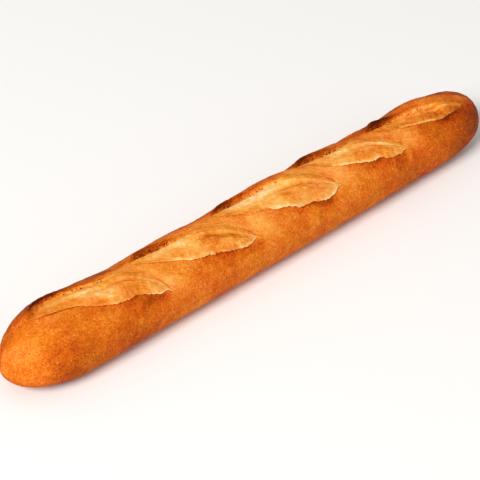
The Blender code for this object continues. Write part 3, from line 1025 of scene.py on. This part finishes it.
@dataclass(frozen=True)
class TornCrumb:
    """The crumb that fills one slash: a wall, a crevice, a pale band, a groove and a tongue."""

    form: LoafForm
    cut: Cut
    ear_height: float = 4.4 * MM
    ear_lean: float = 1.5 * MM
    crease_depth: float = 2.6 * MM
    rows: int = 330
    wall_steps: tuple[int, ...] = (4, 4, 4, 3)
    floor_columns: int = 66
    face_steps: tuple[int, ...] = (3, 4, 3, 2, 2)
    tongue_height: float = 2.3 * MM
    groove_depth: float = 0.9 * MM
    overhang: float = 1.8 * MM
    rim_height: float = 0.7 * MM
    face_height: float = 2.6 * MM
    pillow_height: float = 1.0 * MM
    melt_depth: float = 0.5 * MM
    pit_depth: float = 1.0 * MM

    def groove(self, share: np.ndarray) -> np.ndarray:
        """Give where the groove beside the tongue lies, as a share of the width."""
        return 0.28 + 0.30 * (1.0 - smooth_step((share - 0.16) / 0.50))

    def at(self, share: np.ndarray) -> np.ndarray:
        """Give the x at a share of the slash."""
        start, end = self.cut.start[0] * MM, self.cut.end[0] * MM
        return start + share * (end - start)

    def melted(self, share: np.ndarray) -> np.ndarray:
        """Give 1 where the near side runs into the crust without a torn edge."""
        return 1.0 - smooth_step((share - self.cut.torn_from + 0.10) / 0.12)

    def floor(self, share: np.ndarray, across: np.ndarray) -> np.ndarray:
        """Give the height of the crumb between the crevice and the rim.

        Args:
            share: the place along the slash.
            across: the place across it, from 0 at its far edge to 1 at its rim.

        Returns:
            The height above the plain loaf, in metres.
        """
        x = self.at(share)
        late, melted = self.cut.late(x), self.melted(share)
        crease = self.crease_depth * self.cut.crease_at(x)
        groove = self.groove(share)
        tongue = bump(share, 0.22, 0.74, 1.08)
        along, over = share * 120.0, across * 30.0
        warp = 0.014 * lattice_noise(along, over, 14.0, self.cut.seed + 2)
        beyond = np.clip((across - groove + warp) / (1.0 - groove), 0.0, 1.0)
        rise = -crease * (0.72 * ridge(across, 0.0, 0.09) + 0.28 * (1.0 - across))
        band = 0.7 * MM * bump(share, 0.04, 0.50, 1.0) * ridge(across, 0.52 * groove, 0.34 * groove)
        pillow = self.pillow_height * late * ridge(across, 0.06, 0.22) * (1.0 - smooth_step((share - 0.70) / 0.22))
        dip = -self.groove_depth * bump(share, 0.30, 0.62, 0.92) * ridge(across, groove + warp, 0.09)
        swollen = self.tongue_height * tongue * np.sin(math.pi * beyond**0.8) ** 1.1
        rim = self.rim_height * (0.15 + 0.85 * tongue) * ridge(across, 1.0, 0.12)
        coarse = 1.0 * MM * lattice_noise(along, over, 11.0, self.cut.seed) * tongue * beyond
        total = rise + band + pillow + dip + swollen + (rim + coarse) * (1.0 - melted)
        sink = self.melt_depth * melted * smooth_step((across - 0.45) / 0.55)
        return (total + 0.25 * MM - sink) * self.cut_open(share)

    def pits(self, share: np.ndarray, down: np.ndarray) -> np.ndarray:
        """Give where the wall over the crevice is a dark pit and where torn crumb bridges it.

        Args:
            share: the place along the slash.
            down: the place down the wall, from 0 at the ear to 1 at the floor.

        Returns:
            1 in a pit and 0 on a bridge.
        """
        x, seed = self.at(share), self.cut.seed
        depth = down * 5.0 * MM
        u, v = x + 0.6 * depth, 1.2 * depth - 0.35 * x
        spots = 0.35 * lattice_noise(u, v, 3.5 * MM, seed + 3) + 0.9 * lattice_noise(u, v, 1.1 * MM, seed + 13)
        foot = ridge(down, 0.85, 0.20)
        total = 0.0 * spots
        for start, end, broken in self.cut.pits:
            run = smooth_step((x - start * MM) / (3.0 * MM)) * smooth_step((end * MM - x) / (4.0 * MM))
            total = np.maximum(total, run * smooth_step((spots + 0.75 - broken - 0.8 * (1.0 - foot)) / 0.50))
        return total

    def cut_open(self, share: np.ndarray) -> np.ndarray:
        """Give 1 along the crumb and 0 at its tips."""
        return smooth_step(share / 0.05) * smooth_step((1.0 - share) / 0.05)

    def browning(self, share: np.ndarray, across: np.ndarray) -> np.ndarray:
        """Give how toasted the crumb is between the crevice and the rim, with painted shade along the groove beside the
        tongue.

        Args:
            share: the place along the slash.
            across: the place across it.

        Returns:
            Values from 0 for cream to 1 for the dark of the pits.
        """
        x, cut, seed = self.at(share), self.cut, self.cut.seed
        groove, melted, late = self.groove(share), self.melted(share), cut.late(x)
        along, over = share * 120.0, across * 32.0
        tongue = smooth_step((across - groove) / 0.10) * bump(share, 0.12, 0.62, 1.6)
        pale = bump(share, *cut.pale_run)
        toasted = 0.42 + cut.toast + 0.02 * tongue
        toasted = toasted - cut.paleness * pale * ridge(across, 0.50 * groove, 0.50 * groove + 0.10)
        band = bump(share, 0.45, 0.78, 1.05) * ridge(across, 0.45 * groove, 0.42 * groove)
        toasted = toasted - cut.pale_band * band
        # Darker along the groove beside the tongue: painted shade in the groove.
        toasted = toasted + 0.09 * bump(share, 0.30, 0.62, 1.0) * ridge(across, groove, 0.05)
        edge_far, edge_near = cut.edge(x, Edge.FAR), cut.edge(x, Edge.NEAR)
        slope = (cut.end[1] - cut.start[1]) / (cut.end[0] - cut.start[0])
        toasted = toasted + patches_at(x, edge_far + (edge_near - edge_far) * across, cut.marks, slope)
        kept = sum(smooth_step((x - start * MM) / (4.0 * MM)) * smooth_step((end * MM - x) / (4.0 * MM))
                   for start, end in cut.pale_rims)
        wide = 0.11 + 0.05 * lattice_noise(along, 0.0, 13.0, seed + 4) + 0.03 * lattice_noise(along, 0.0, 3.0, seed + 14)
        toasted = toasted - (0.03 + 0.27 * kept) * ridge(across, 1.0, wide)
        toasted = toasted + 0.12 * (1.0 - smooth_step(share / 0.22))
        toasted = toasted - 0.16 * smooth_step((share - 0.90) / 0.06)
        patches = 0.07 * lattice_noise(along, over, 11.0, seed + 9) + 0.06 * lattice_noise(along, over, 3.5, seed + 8)
        toasted = toasted + patches
        crusty = np.maximum(0.85 * melted * smooth_step((across - 0.40) / 0.55),
                            late * (1.0 - smooth_step(across / 0.16)))
        return toasted + (0.50 - toasted) * crusty

    def build(self) -> bpy.types.Object:
        """Make the crumb of one slash.

        Returns:
            The crumb, without its fine relief.
        """
        share = np.linspace(0.004, 0.996, self.rows)[:, None]
        span = (self.cut.end[0] - self.cut.start[0]) * MM
        x = self.cut.start[0] * MM + share * span
        far, near = self.cut.edge(x, Edge.FAR), self.cut.edge(x, Edge.NEAR)
        seed = self.cut.seed
        tongue = bump(share, 0.30, 0.70, 1.04)
        wide, small = lattice_noise(x, 0.0, 5.0 * MM, seed + 5), lattice_noise(x, 0.0, 1.7 * MM, seed + 6)
        jag = 0.45 * wide + 0.25 * small
        rim = near + 0.3 * MM + self.cut.ragged * (self.overhang * tongue * (0.6 + jag) + 0.2 * MM * small)
        thin = smooth_step(share / 0.09) ** 0.5 * smooth_step((1.02 - share) / 0.12) ** 0.7
        middle = (far + near) / 2
        rim, start = middle + (rim - middle) * thin, middle + (far + 2.6 * MM - middle) * thin
        opened = self.cut_open(share)
        ear = self.ear_height * self.cut.ear_at(x) * opened
        lean = self.ear_lean * self.cut.ear_at(x) * thin
        late = self.cut.late(x)
        crease = self.crease_depth * self.cut.crease_at(x) * opened
        pit = 0.4 * MM * (1.0 - late) * opened
        torn = 1.0 + 0.5 * lattice_noise(x, 0.0, 3.0 * MM, seed + 7)
        low_floor = self.floor(share, 0.0 * share)
        closed_wall = (
            (far - 4.2 * MM, low_floor - 2.6 * MM),
            (far - 3.2 * MM, low_floor - 1.25 * MM),
            (far - 1.8 * MM, low_floor - 0.50 * MM),
            (far + 0.4 * MM, low_floor - 0.10 * MM),
            (far + 2.6 * MM, low_floor),
        )
        open_wall = (
            (far - 0.9 * MM + 0.75 * lean, 0.42 * ear * torn - 0.9 * MM),
            (far - 0.3 * MM + 0.3 * lean, 0.05 * ear - 0.4 * crease - 0.7 * MM),
            (far + 0.4 * MM, -0.9 * crease - 0.5 * pit - 0.5 * MM),
            (far + 1.2 * MM, -crease - pit),
            (far + 2.6 * MM, low_floor),
        )
        wall = tuple(
            (middle + (place + late * (other - place) - middle) * thin,
             height + late * (low - height) * opened)
            for (place, height), (other, low) in zip(open_wall, closed_wall)
        )
        across = (0.65 * np.linspace(0.0, 1.0, self.floor_columns)
                  + 0.35 * (1.0 - np.cos(np.linspace(0.0, math.pi, self.floor_columns))) / 2)[None, :]
        floor_place, floor_height = start + (rim - start) * across, self.floor(share, across)
        edge = floor_height[:, -1:]
        drop = self.face_height * (0.30 + 0.70 * tongue) * thin
        drop = drop * (1.0 + 0.25 * small)
        face = (
            (rim, edge),
            (rim + 0.25 * MM * thin * tongue, edge - 0.5 * drop),
            (rim - 0.5 * MM * thin, edge - drop),
            (near - 1.8 * MM * thin, -0.3 * crease - 2.4 * MM * thin),
            (middle, -0.6 * crease - 3.0 * MM * thin),
            (middle + (far - 1.5 * MM - middle) * thin, -crease - 2.0 * MM * thin),
        )
        wall_table, face_table = spread(len(wall), self.wall_steps), spread(len(face), self.face_steps)
        holes = self.pits(share, np.linspace(0.0, 1.0, len(wall_table))[None, :]) * opened
        parts_place = [np.concatenate([p for p, _ in wall], axis=1) @ wall_table.T - 0.5 * self.pit_depth * holes,
                       floor_place[:, 1:],
                       (np.concatenate([p for p, _ in face], axis=1) @ face_table.T)[:, 1:]]
        parts_height = [np.concatenate([h for _, h in wall], axis=1) @ wall_table.T - self.pit_depth * holes,
                        floor_height[:, 1:],
                        (np.concatenate([h for _, h in face], axis=1) @ face_table.T)[:, 1:]]
        places, heights = np.concatenate(parts_place, axis=1), np.concatenate(parts_height, axis=1)
        heights = heights + self.cut.lift(x, places)
        rings = self.form.skin(x, places, heights)
        tips = [self.form.skin(x[row], middle[row], np.full(1, -1.0 * MM))[0] for row in (0, -1)]
        mesh = closed_tube(self.cut.name, rings, (tips[0], tips[1]))
        counts = [part.shape[1] for part in parts_place]
        self.dress(mesh, share, across[:, 1:], counts, thin)
        along = np.broadcast_to(share * span, places.shape)
        paint(mesh, Layer.GRAIN, np.stack([along, places - middle, 0.0 * places + seed], axis=-1))
        return show(f"crumb_{self.cut.name}", mesh)

    def dress(self, mesh: bpy.types.Mesh, share: np.ndarray, across: np.ndarray, counts: list[int],
              thin: np.ndarray) -> None:
        """Store the layers of the crumb's mesh.

        Args:
            mesh: the crumb's mesh.
            share: the place of each row along the slash.
            across: the place of each column of the floor.
            counts: how many columns the wall, the floor and the face have.
            thin: how wide each row is, as a share of its full width.
        """
        wall_part = np.linspace(0.0, 1.0, counts[0])[None, :]
        face_part = np.linspace(0.0, 1.0, counts[2])[None, :]
        early = bump(share, -0.05, 0.12, self.cut.scorch_end + 0.10)
        late, pits = self.cut.late(self.at(share)), self.pits(share, wall_part)
        wall_brown = 0.46 + self.cut.scorch * (1.0 - 0.4 * smooth_step(wall_part / 0.85)) * early
        speckle = lattice_noise(self.at(share) + 3.0 * MM * wall_part, 5.0 * MM * wall_part, 1.2 * MM, self.cut.seed + 17)
        # The pits are painted darker: partly the crumb's own colour, partly painted shade in the holes.
        wall_brown = wall_brown + 0.13 * speckle * (1.0 - late) + 0.42 * pits
        strands = (1.0 - pits) * ridge(wall_part, 0.85, 0.25) * (1.0 - late) * smooth_step((share - 0.12) / 0.1)
        wall_brown = wall_brown - 0.16 * strands
        floor_brown = self.browning(share, across)
        face_brown = 0.24 + 0.40 * smooth_step((face_part - 0.20) / 0.2) + 0.0 * share
        seam = self.browning(share, 0.0 * share)
        joined = np.maximum(smooth_step((wall_part - 0.85) / 0.15), late)
        wall_brown = wall_brown + (seam - wall_brown) * joined
        paint(mesh, Layer.BAKE, np.concatenate([wall_brown, floor_brown, face_brown], axis=1))
        rough = [0.6 + 0.0 * wall_part * share, 1.0 + 0.0 * across * share,
                 (1.0 - 0.9 * smooth_step((face_part - 0.3) / 0.2)) + 0.0 * share]
        paint(mesh, Layer.ROUGH, np.concatenate(rough, axis=1) * thin)
        rim_seed = ridge(across, 1.0, 0.05) * bump(share, 0.25, 0.70, 1.0)
        wall_seed = ridge(wall_part, 0.55, 0.35) * bump(share, 0.0, 0.25, 0.85)
        paint(mesh, Layer.SEED, np.concatenate([wall_seed, rim_seed, 0.0 * face_part * share], axis=1))
        paint(mesh, Layer.FIBRE, np.ones((len(share), sum(counts))))


# Geometry Nodes ------------------------------------------------------------------------


@dataclass
class Growth:
    """A Geometry Nodes tree with named sizes, ready to run on a piece."""

    name: str

    def __post_init__(self) -> None:
        """Start the tree with its geometry sockets and its material."""
        self.tree = bpy.data.node_groups.new(self.name, "GeometryNodeTree")
        self.tree.interface.new_socket("Geometry", in_out="INPUT", socket_type="NodeSocketGeometry")
        self.tree.interface.new_socket("Geometry", in_out="OUTPUT", socket_type="NodeSocketGeometry")
        self.tree.interface.new_socket("Material", in_out="INPUT", socket_type="NodeSocketMaterial")
        self.values: dict[str, object] = {}
        self.entry = add_node(self.tree, "NodeGroupInput")

    def size(self, name: str, value: float) -> bpy.types.NodeSocket:
        """Add a named size.

        Args:
            name: what it is called on the modifier.
            value: its value.

        Returns:
            The socket to link from.
        """
        self.tree.interface.new_socket(name, in_out="INPUT", socket_type="NodeSocketFloat")
        self.values[name] = value
        return self.entry.outputs[name]

    def named(self, layer: Layer, kind: str = "FLOAT") -> bpy.types.NodeSocket:
        """Give the values of a layer."""
        node = add_node(self.tree, "GeometryNodeInputNamedAttribute", {"Name": layer.value}, data_type=kind)
        return node.outputs["Attribute"]

    def math(self, operation: str, *values: bpy.types.NodeSocket | float) -> bpy.types.NodeSocket:
        """Give the result of a sum on numbers."""
        return add_node(self.tree, "ShaderNodeMath", dict(enumerate(values)), operation=operation).outputs[0]

    def close(self, geometry: bpy.types.NodeSocket) -> None:
        """End the tree: instances become mesh and take the material."""
        real = add_node(self.tree, "GeometryNodeRealizeInstances", {"Geometry": geometry})
        dressed = add_node(self.tree, "GeometryNodeSetMaterial",
                           {"Geometry": real.outputs["Geometry"], "Material": self.entry.outputs["Material"]})
        add_node(self.tree, "NodeGroupOutput", {"Geometry": dressed.outputs["Geometry"]})

    def run(self, piece: bpy.types.Object, material: bpy.types.Material, **changes: float) -> bpy.types.Mesh:
        """Run the tree on a piece.

        Args:
            piece: the piece that it starts from, which is left as it was.
            material: what the result is made of.
            **changes: sizes that differ from the tree's own, with _ for a space.

        Returns:
            The result as a plain mesh.
        """
        modifier = piece.modifiers.new(self.name, "NODES")
        modifier.node_group = self.tree
        values = {**self.values, **{name.replace("_", " "): value for name, value in changes.items()}}
        for item in self.tree.interface.items_tree:
            if item.in_out == "INPUT" and item.name in values:
                modifier[item.identifier] = float(values[item.name])
            elif item.in_out == "INPUT" and item.name == "Material":
                modifier[item.identifier] = material
        depsgraph = bpy.context.evaluated_depsgraph_get()
        mesh = bpy.data.meshes.new_from_object(piece.evaluated_get(depsgraph),
                                               preserve_all_data_layers=True, depsgraph=depsgraph)
        piece.modifiers.remove(modifier)
        return mesh


def relief_growth() -> Growth:
    """Make the tree that roughens a surface.

    Returns:
        A tree that moves each point along its normal by a swell, by lumps and by streaks.
    """
    growth = Growth("fine relief")
    tree = growth.tree
    where = add_node(tree, "GeometryNodeInputPosition").outputs[0]
    grain = growth.named(Layer.GRAIN, "FLOAT_VECTOR")
    stretched = add_node(tree, "ShaderNodeVectorMath", {0: grain, 1: (0.12, 1.0, 1.0)},
                         operation="MULTIPLY").outputs[0]
    total: bpy.types.NodeSocket | float = 0.0
    for label, vector, width, height in (
        ("Swell", where, 22.0 * MM, 0.5 * MM),
        ("Lump", where, 6.0 * MM, 0.35 * MM),
        ("Grit", where, 2.6 * MM, 0.40 * MM),
        ("Streak", stretched, 3.0 * MM, 0.4 * MM),
    ):
        broad = growth.size(f"{label} width", width)
        tall = growth.size(f"{label} height", height)
        if vector is stretched:
            tall = growth.math("MULTIPLY", tall, growth.named(Layer.FIBRE))
        scale = growth.math("DIVIDE", 1.0, broad)
        noise = add_node(tree, "ShaderNodeTexNoise", {"Vector": vector, "Scale": scale, "Detail": 1.5})
        centred = growth.math("SUBTRACT", noise.outputs[0], 0.5)
        part = growth.math("MULTIPLY", centred, growth.math("MULTIPLY", tall, 2.0))
        total = growth.math("ADD", part, total)
    masked = growth.math("MULTIPLY", total, growth.named(Layer.ROUGH))
    normal = add_node(tree, "GeometryNodeInputNormal").outputs[0]
    offset = add_node(tree, "ShaderNodeVectorMath", {0: normal, "Scale": masked}, operation="SCALE").outputs[0]
    marked = add_node(tree, "GeometryNodeStoreNamedAttribute", {
        "Geometry": growth.entry.outputs["Geometry"],
        "Name": Layer.RELIEF.value,
        "Value": growth.math("DIVIDE", masked, MM),
    }, data_type="FLOAT", domain="POINT")
    moved = add_node(tree, "GeometryNodeSetPosition",
                     {"Geometry": marked.outputs["Geometry"], "Offset": offset})
    growth.close(moved.outputs["Geometry"])
    return growth


def scatter_growth() -> Growth:
    """Make the tree that grows small blisters or flakes on a surface.

    Returns:
        A tree that puts flattened pebbles on the surface, where its seeding layer is high.
    """
    growth = Growth("small growth")
    tree = growth.tree
    density = growth.math("MULTIPLY", growth.size("Density", 20000.0), growth.named(Layer.SEED))
    points = add_node(tree, "GeometryNodeDistributePointsOnFaces", {
        "Mesh": growth.entry.outputs["Geometry"],
        "Density": density,
    }, distribute_method="RANDOM")
    seed = growth.size("Seed", 7.0)
    tree.links.new(seed, points.inputs["Seed"])
    pebble = add_node(tree, "GeometryNodeMeshIcoSphere", {"Radius": 1.0, "Subdivisions": 1})
    smallest, largest = growth.size("Smallest", 0.5 * MM), growth.size("Largest", 1.2 * MM)
    flatness = growth.size("Flatness", 0.35)
    chance = add_node(tree, "FunctionNodeRandomValue", {2: 0.0, 3: 1.0, "Seed": seed}, data_type="FLOAT")
    skewed = growth.math("POWER", chance.outputs[1], 2.2)
    width = growth.math("MULTIPLY_ADD", skewed, growth.math("SUBTRACT", largest, smallest), smallest)
    shape = add_node(tree, "FunctionNodeRandomValue",
                     {0: (0.75, 0.75, 0.8), 1: (1.35, 1.1, 1.2), "Seed": growth.math("ADD", seed, 3.0)},
                     data_type="FLOAT_VECTOR")
    flat = add_node(tree, "ShaderNodeCombineXYZ", {0: 1.0, 1: 1.0, 2: flatness}).outputs[0]
    scaled = add_node(tree, "ShaderNodeVectorMath", {0: shape.outputs[0], 1: flat}, operation="MULTIPLY")
    sized = add_node(tree, "ShaderNodeVectorMath", {0: scaled.outputs[0], "Scale": width}, operation="SCALE")
    spun = add_node(tree, "FunctionNodeRandomValue",
                    {0: (0.0, 0.0, 0.0), 1: (0.0, 0.0, 2 * math.pi), "Seed": growth.math("ADD", seed, 5.0)},
                    data_type="FLOAT_VECTOR")
    turned = add_node(tree, "FunctionNodeRotateRotation",
                      {"Rotation": points.outputs["Rotation"], "Rotate By": spun.outputs[0]},
                      rotation_space="LOCAL")
    placed = add_node(tree, "GeometryNodeInstanceOnPoints", {
        "Points": points.outputs["Points"],
        "Instance": pebble.outputs["Mesh"],
        "Rotation": turned.outputs[0],
        "Scale": sized.outputs[0],
    })
    tinted = add_node(tree, "GeometryNodeStoreNamedAttribute", {
        "Geometry": placed.outputs["Instances"],
        "Name": Layer.TINT.value,
        "Value": growth.math("SUBTRACT", add_node(tree, "FunctionNodeRandomValue", {2: 0.0, 3: 1.0},
                                                  data_type="FLOAT").outputs[1], 0.5),
    }, data_type="FLOAT", domain="INSTANCE")
    smooth = add_node(tree, "GeometryNodeSetShadeSmooth",
                      {"Geometry": add_node(tree, "GeometryNodeRealizeInstances",
                                            {"Geometry": tinted.outputs["Geometry"]}).outputs["Geometry"]})
    growth.close(smooth.outputs["Geometry"])
    return growth


# Studio --------------------------------------------------------------------------------


@dataclass(frozen=True)
class Studio:
    """A pale floor, soft lights and the camera."""

    floor_colour: str = "#f7f5f2"
    azimuth: float = -41.4
    elevation: float = 40.0
    distance: float = 1.6
    lens: float = 135.4
    aim_right: float = -14.2 * MM
    aim_up: float = -9.8 * MM
    aim_height: float = 25.0 * MM

    def floor(self) -> None:
        """Lay a wide matt floor just under the loaf."""
        half = 6.0
        mesh = bpy.data.meshes.new("floor")
        corners = [(-half, -half, 0.0), (half, -half, 0.0), (half, half, 0.0), (-half, half, 0.0)]
        mesh.from_pydata(corners, [], [(0, 1, 2, 3)])
        material = bpy.data.materials.new("matt white paper")
        material.use_nodes = True
        shader = material.node_tree.nodes["Principled BSDF"]
        shader.inputs["Base Color"].default_value = linear(self.floor_colour)
        shader.inputs["Roughness"].default_value = 0.9
        shader.inputs["Specular IOR Level"].default_value = 0.1
        mesh.materials.append(material)
        show("floor", mesh)

    def light(self, name: str, spot: tuple[float, float, float], size: float, power: float) -> None:
        """Hang one square soft light, aimed at the loaf.

        Args:
            name: the light's name.
            spot: where it hangs.
            size: the side of its square.
            power: its power in watts.
        """
        data = bpy.data.lights.new(name, "AREA")
        data.size, data.energy = size, power
        lamp = bpy.data.objects.new(name, data)
        lamp.location = spot
        lamp.rotation_euler = (Vector(spot) - Vector((0, 0, self.aim_height))).to_track_quat("Z", "Y").to_euler()
        bpy.context.scene.collection.objects.link(lamp)

    def lights(self) -> None:
        """Hang the lights and set the pale surroundings."""
        self.light("key", (-4.1, -0.9, 3.6), 2.4, 290.0)
        self.light("fill", (0.9, -1.5, 0.9), 1.4, 3.0)
        world = bpy.data.worlds.new("studio")
        world.use_nodes = True
        world.node_tree.nodes["Background"].inputs["Color"].default_value = (1.0, 1.0, 1.0, 1.0)
        world.node_tree.nodes["Background"].inputs["Strength"].default_value = 0.45
        bpy.context.scene.world = world
        bpy.context.scene.view_settings.view_transform = "Standard"

    def camera(self) -> None:
        """Stand the camera at the near end, looking down along the loaf."""
        turn, rise = math.radians(self.azimuth), math.radians(self.elevation)
        back = Vector((math.sin(turn) * math.cos(rise), -math.cos(turn) * math.cos(rise), math.sin(rise)))
        right = Vector((math.cos(turn), math.sin(turn), 0.0))
        aim = Vector((0, 0, self.aim_height)) + right * self.aim_right + back.cross(right) * self.aim_up
        data = bpy.data.cameras.new("camera")
        data.lens = self.lens
        camera = bpy.data.objects.new("camera", data)
        camera.location = aim + back * self.distance
        camera.rotation_euler = back.to_track_quat("Z", "Y").to_euler()
        bpy.context.scene.collection.objects.link(camera)
        bpy.context.scene.camera = camera

    def build(self) -> None:
        """Set the whole studio."""
        self.camera()
        self.floor()
        self.lights()


def main() -> None:
    """Build the loaf's pieces in order, dress them and set the studio."""
    logging.basicConfig(level=logging.INFO, format="%(name)s: %(message)s")
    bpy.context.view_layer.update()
    low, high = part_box(NODE)
    form = LoafForm(length=high.x - low.x)
    crust_material, crumb_material = CRUST.build(), CRUMB.build()
    relief, scatter = relief_growth(), scatter_growth()

    crust = CrustShell(form).build()
    crust.data = relief.run(crust, crust_material)
    blisters = show("blisters", scatter.run(crust, crust_material, Density=90000.0, Flatness=0.3))
    declare(crust)
    declare(blisters)

    for cut in CUTS:
        crumb = TornCrumb(form, cut).build()
        crumb.data = relief.run(crumb, crumb_material, Swell_height=0.5 * MM, Lump_height=0.6 * MM,
                                Lump_width=4.5 * MM, Grit_height=0.16 * MM, Grit_width=1.6 * MM,
                                Streak_height=0.22 * MM, Streak_width=2.0 * MM)
        flakes = show(f"flakes_{cut.name}", scatter.run(crumb, crumb_material, Density=160000.0,
                                                        Smallest=0.3 * MM, Largest=0.9 * MM,
                                                        Flatness=0.5, Seed=cut.seed))
        declare(crumb)
        declare(flakes)

    Studio().build()


if __name__ == "__main__":
    main()
